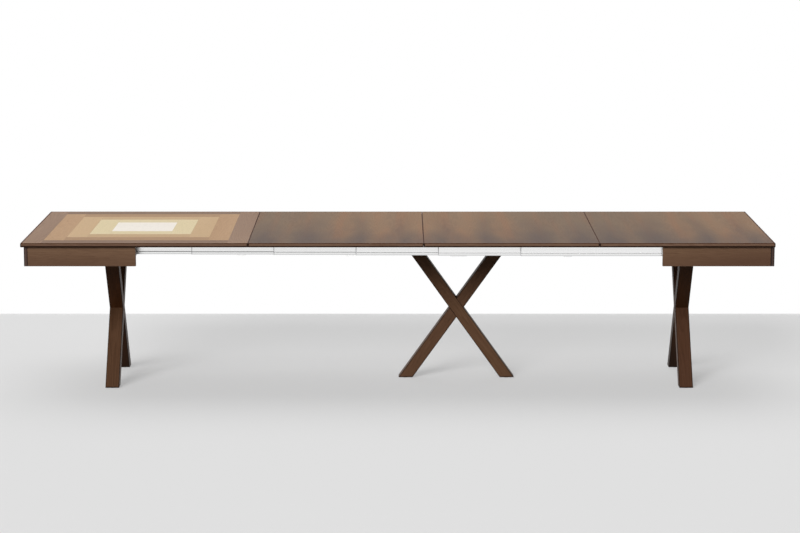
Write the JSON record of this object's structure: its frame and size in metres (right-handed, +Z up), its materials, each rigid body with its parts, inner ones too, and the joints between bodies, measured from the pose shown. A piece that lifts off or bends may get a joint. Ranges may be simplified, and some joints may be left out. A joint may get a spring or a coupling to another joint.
{
  "type": "extending dining table",
  "caption": "Extending dining table: square inlaid main top, loose leaves on telescopic aluminium rails, aproned end frames and crossed walnut legs.",
  "frame": {"origin": "on the floor under the middle of the drawn-out top", "axes": "+X along the table from the inlaid main top to the loose leaves, +Y to the back, +Z up"},
  "size_m": [3.65, 1.1, 0.77],
  "materials": {
    "walnut_veneer": "satin lacquered walnut veneer, grain across the table",
    "walnut_edge": "satin lacquered solid walnut edge, stained at the arrises",
    "inlay_outer": "satin lacquered light walnut veneer",
    "inlay_middle": "satin lacquered oak veneer",
    "inlay_inner": "satin lacquered pale ash veneer",
    "inlay_centre": "satin lacquered white sycamore veneer",
    "walnut_apron": "satin lacquered walnut, grain along the board",
    "leg_walnut": "satin dark walnut",
    "hidden_beech": "plain sanded beech",
    "rail_aluminium": "fine satin anodised",
    "steel_bar": "pale grey powder coat",
    "foot_felt": "dense dark felt and rubber",
    "screw_steel": "bright zinc plate, for the screws and bolts"
  },
  "bodies": {
    "stage_4": {"centre_leg_arm_left": "leg_walnut", "centre_leg_arm_right": "leg_walnut", "centre_leg_foot_pads": "foot_felt", "centre_leg_head_plate": "steel_bar", "centre_leg_post": "steel_bar", "stage_4_cross_bar": "rail_aluminium", "stage_4_rail_back": "rail_aluminium", "stage_4_rail_front": "rail_aluminium"},
    "left_frame": {"inlay_centre": "inlay_centre", "inlay_inner_band": "inlay_inner", "inlay_middle_band": "inlay_middle", "inlay_outer_band": "inlay_outer", "left_back_apron": "walnut_apron", "left_beam_brackets": "steel_bar", "left_corner_blocks": "hidden_beech", "left_crossbeam": "hidden_beech", "left_end_apron": "walnut_apron", "left_front_apron": "walnut_apron", "left_leg_arm_back": "leg_walnut", "left_leg_arm_front": "leg_walnut", "left_leg_foot_pads": "foot_felt", "left_rail_back": "rail_aluminium", "left_rail_front": "rail_aluminium", "main_top": "walnut_veneer", "main_top_edge_strips": "walnut_edge", "main_top_end_strip": "walnut_edge"},
    "leaf_1": {"leaf_1": "walnut_veneer", "leaf_1_edge_strips": "walnut_edge"},
    "leaf_2": {"leaf_2": "walnut_veneer", "leaf_2_edge_strips": "walnut_edge"},
    "leaf_3": {"leaf_3": "walnut_veneer", "leaf_3_edge_strips": "walnut_edge", "leaf_3_end_strip": "walnut_edge"},
    "right_frame": {"right_back_apron": "walnut_apron", "right_beam_brackets": "steel_bar", "right_corner_blocks": "hidden_beech", "right_crossbeam": "hidden_beech", "right_end_apron": "walnut_apron", "right_front_apron": "walnut_apron", "right_leg_arm_back": "leg_walnut", "right_leg_arm_front": "leg_walnut", "right_leg_foot_pads": "foot_felt", "right_runner_back": "rail_aluminium", "right_runner_front": "rail_aluminium"},
    "stage_1": {"stage_1_cross_bar": "rail_aluminium", "stage_1_rail_back": "rail_aluminium", "stage_1_rail_front": "rail_aluminium"},
    "stage_2": {"stage_2_cross_bar": "rail_aluminium", "stage_2_rail_back": "rail_aluminium", "stage_2_rail_front": "rail_aluminium"},
    "stage_3": {"stage_3_cross_bar": "rail_aluminium", "stage_3_rail_back": "rail_aluminium", "stage_3_rail_front": "rail_aluminium"},
    "stage_5": {"stage_5_cross_bar": "rail_aluminium", "stage_5_rail_back": "rail_aluminium", "stage_5_rail_front": "rail_aluminium"},
    "stage_6": {"stage_6_cross_bar": "rail_aluminium", "stage_6_rail_back": "rail_aluminium", "stage_6_rail_front": "rail_aluminium"}
  },
  "joints": [
    {"name": "extension_slide", "type": "slide", "parent": "left_frame", "child": "right_frame", "axis": [-1, 0, 0], "range_m": [0, 2.55]},
    {"name": "stage_1_slide", "type": "slide", "parent": "left_frame", "child": "stage_1", "axis": [-1, 0, 0], "range_m": [0, 0.364]},
    {"name": "stage_2_slide", "type": "slide", "parent": "left_frame", "child": "stage_2", "axis": [-1, 0, 0], "range_m": [0, 0.764]},
    {"name": "stage_3_slide", "type": "slide", "parent": "left_frame", "child": "stage_3", "axis": [-1, 0, 0], "range_m": [0, 1.164]},
    {"name": "stage_4_slide", "type": "slide", "parent": "left_frame", "child": "stage_4", "axis": [-1, 0, 0], "range_m": [0, 1.564]},
    {"name": "stage_5_slide", "type": "slide", "parent": "left_frame", "child": "stage_5", "axis": [-1, 0, 0], "range_m": [0, 1.964]},
    {"name": "stage_6_slide", "type": "slide", "parent": "left_frame", "child": "stage_6", "axis": [-1, 0, 0], "range_m": [0, 2.364]},
    {"name": "leaf_1_lift", "type": "slide", "parent": "left_frame", "child": "leaf_1", "axis": [0, 0, 1], "range_m": [0, 0.3]},
    {"name": "leaf_2_lift", "type": "slide", "parent": "left_frame", "child": "leaf_2", "axis": [0, 0, 1], "range_m": [0, 0.3]},
    {"name": "leaf_3_lift", "type": "slide", "parent": "left_frame", "child": "leaf_3", "axis": [0, 0, 1], "range_m": [0, 0.3]}
  ],
  "couplings": [
    {"joint": "stage_1_slide", "follows": "extension_slide", "ratio": 0.14275},
    {"joint": "stage_2_slide", "follows": "extension_slide", "ratio": 0.29961},
    {"joint": "stage_3_slide", "follows": "extension_slide", "ratio": 0.45647},
    {"joint": "stage_4_slide", "follows": "extension_slide", "ratio": 0.61333},
    {"joint": "stage_5_slide", "follows": "extension_slide", "ratio": 0.7702},
    {"joint": "stage_6_slide", "follows": "extension_slide", "ratio": 0.92706}
  ]
}
